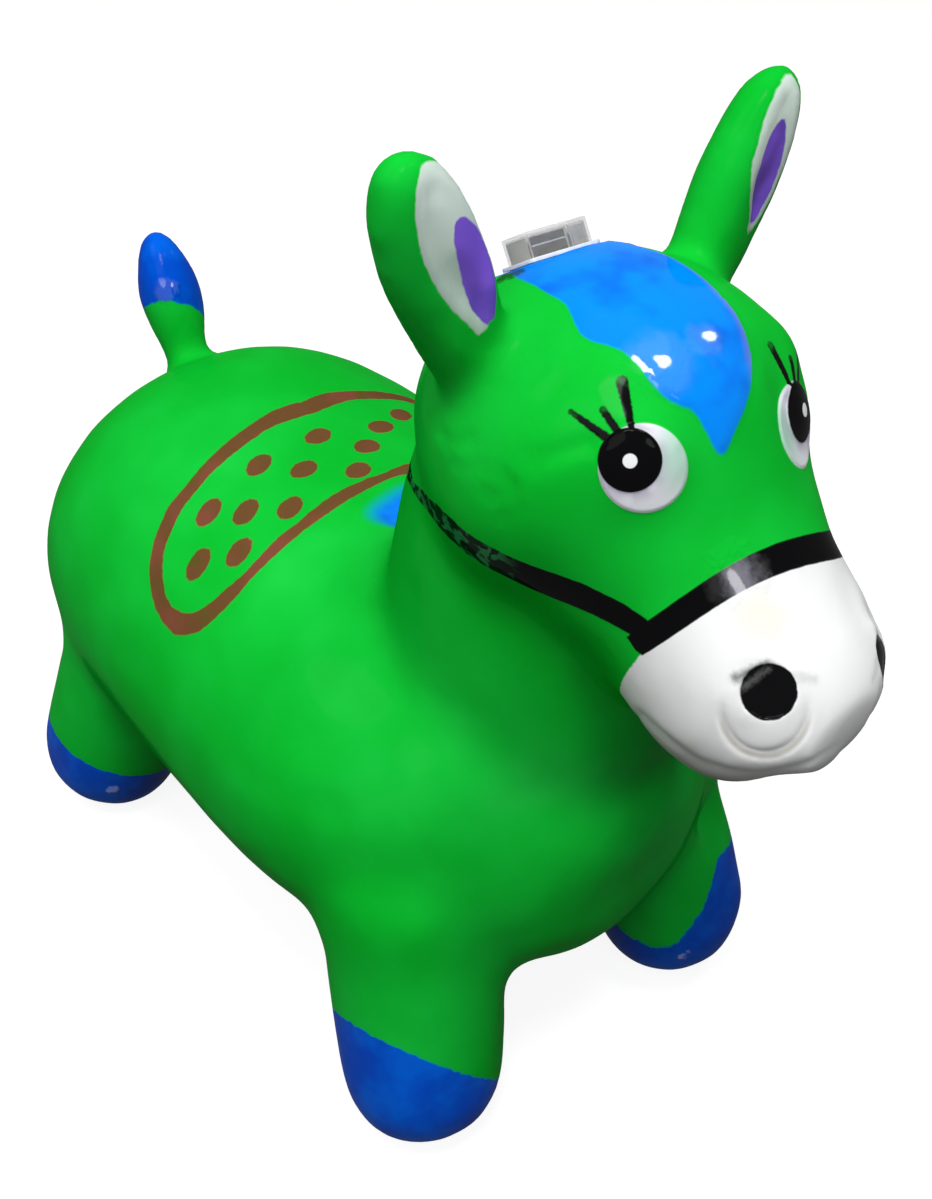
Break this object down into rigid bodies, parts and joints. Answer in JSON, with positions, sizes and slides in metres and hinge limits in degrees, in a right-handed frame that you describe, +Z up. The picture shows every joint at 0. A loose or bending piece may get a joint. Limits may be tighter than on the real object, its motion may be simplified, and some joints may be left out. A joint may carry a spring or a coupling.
{
  "type": "bouncy ride-on animal",
  "caption": "Air-filled moulded four-legged ride-on animal with ears to hold, a stopper under its belly and a clear-topped sound and light box in a pocket on its crown.",
  "frame": {"origin": "on the floor, under the middle of the animal's length and width", "axes": "+Z up, -Y the way the animal faces, +X to the animal's left"},
  "size_m": [0.2812, 0.5224, 0.4993],
  "materials": {
    "skin": "glossy moulded soft PVC, painted",
    "plug": "satin",
    "tray": "satin",
    "cover": "clear",
    "board": "lacquered",
    "screws": "plated",
    "chip_resin": "gloss",
    "holder": "satin",
    "cells": "polished",
    "contacts": "plated",
    "lamp_red": "clear tinted",
    "lamp_green": "clear tinted",
    "lamp_blue": "clear tinted",
    "speaker_metal": "plated",
    "speaker_film": "satin",
    "wires": "satin",
    "spring_wire": "bright"
  },
  "bodies": {
    "animal": {"skin": "skin"},
    "module": {"module_tray": "tray", "clear_cover": "cover", "circuit_board": "board", "board_screw_1": "screws", "board_screw_2": "screws", "board_screw_3": "screws", "board_screw_4": "screws", "chip_drop": "chip_resin", "battery_holder": "holder", "button_cell_1": "cells", "button_cell_2": "cells", "button_cell_3": "cells", "contact_plate": "contacts", "contact_leaf": "contacts", "led_red": "lamp_red", "led_green": "lamp_green", "led_blue": "lamp_blue", "speaker_basket": "speaker_metal", "speaker_cone": "speaker_film", "speaker_wire_1": "wires", "speaker_wire_2": "wires", "trembler_spring": "spring_wire", "trembler_pin": "spring_wire"},
    "plug": {"valve_plug": "plug"}
  },
  "joints": [
    {"name": "plug_pull", "type": "slide", "parent": "animal", "child": "plug", "axis": [0, 0, -1], "range_m": [0, 0.018]},
    {"name": "module_pull", "type": "slide", "parent": "animal", "child": "module", "axis": [0, 0.5878, 0.809], "range_m": [0, 0.014]}
  ]
}
